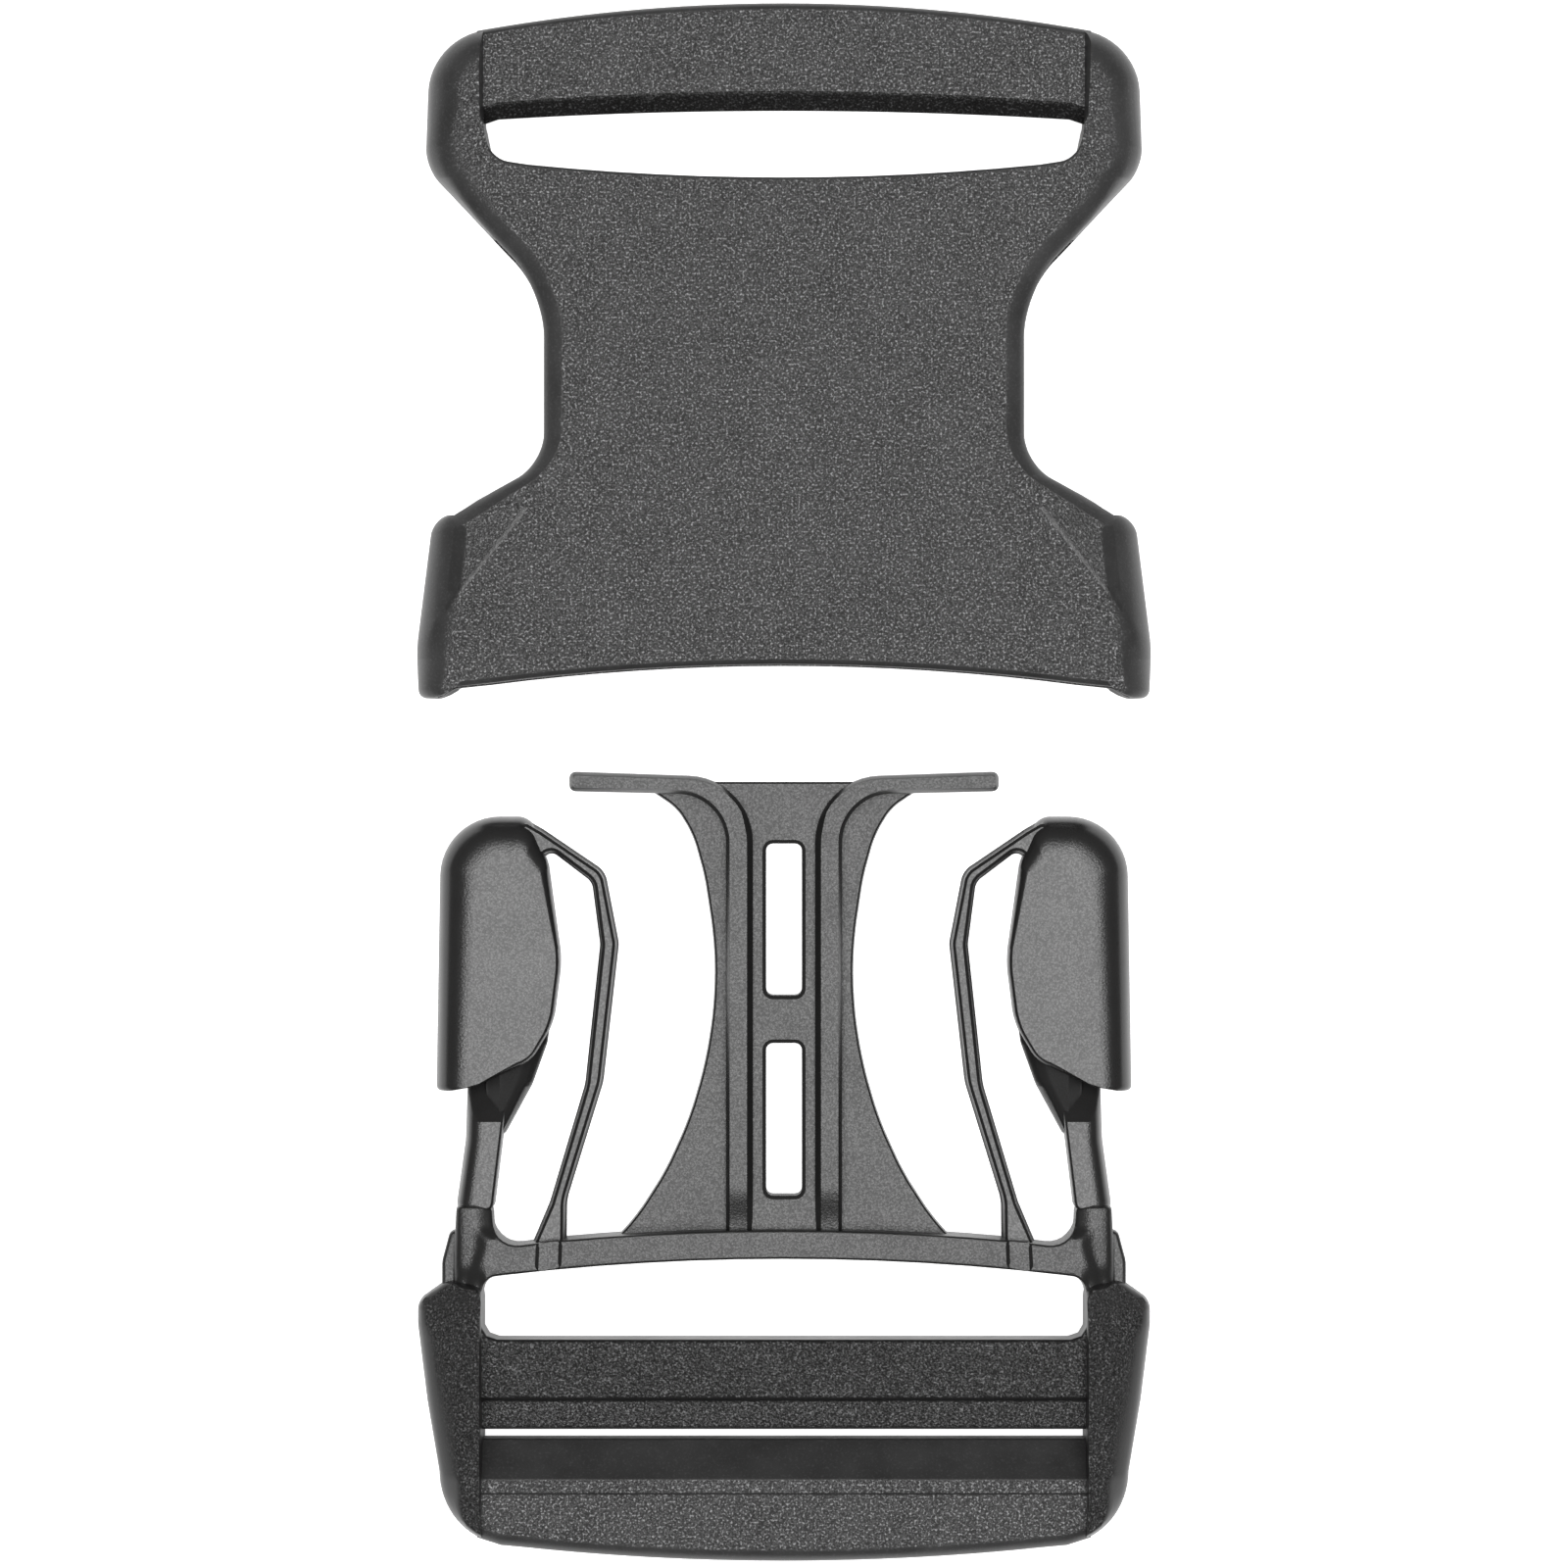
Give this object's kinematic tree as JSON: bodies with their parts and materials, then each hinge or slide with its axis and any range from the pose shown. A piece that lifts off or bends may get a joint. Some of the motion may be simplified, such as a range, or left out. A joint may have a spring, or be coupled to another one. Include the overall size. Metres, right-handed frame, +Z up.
{
  "type": "side release buckle",
  "caption": "Two-part plastic side release buckle for wide webbing: a socket with an open waist, and a plug with a middle guide, two spring arms and a ladder frame.",
  "frame": {"origin": "under the middle of the laid-out buckle, on the surface that it lies on", "axes": "+Z up from the surface, +Y from the plug towards the socket, along the strap, +X across the strap"},
  "size_m": [0.0636, 0.1348, 0.012],
  "materials": {
    "textured_plastic": "charcoal acetal with a coarse spark-eroded grain",
    "frame_plastic": "charcoal acetal, satin on the guide and coarse-grained on the ladder frame",
    "satin_plastic": "charcoal acetal with a fine satin grain"
  },
  "bodies": {
    "socket": {"socket": "textured_plastic"},
    "plug": {"plug_frame": "frame_plastic"},
    "arm_left": {"release_arm_left": "satin_plastic"},
    "arm_right": {"release_arm_right": "satin_plastic"}
  },
  "joints": [
    {"name": "plug_slide", "type": "slide", "parent": "socket", "child": "plug", "axis": [0, 1, 0], "range_m": [0, 0.05], "deforming": ["release_arm_left", "release_arm_right"]},
    {"name": "arm_left_flex", "type": "hinge", "parent": "plug", "child": "arm_left", "pos_m": [-0.0201, -0.04, 0.006], "axis": [0, 0, -1], "range_deg": [0, 10], "stiffness_Nm_per_rad": 1.5},
    {"name": "arm_right_flex", "type": "hinge", "parent": "plug", "child": "arm_right", "pos_m": [0.0201, -0.04, 0.006], "axis": [0, 0, 1], "range_deg": [0, 10], "stiffness_Nm_per_rad": 1.5}
  ]
}
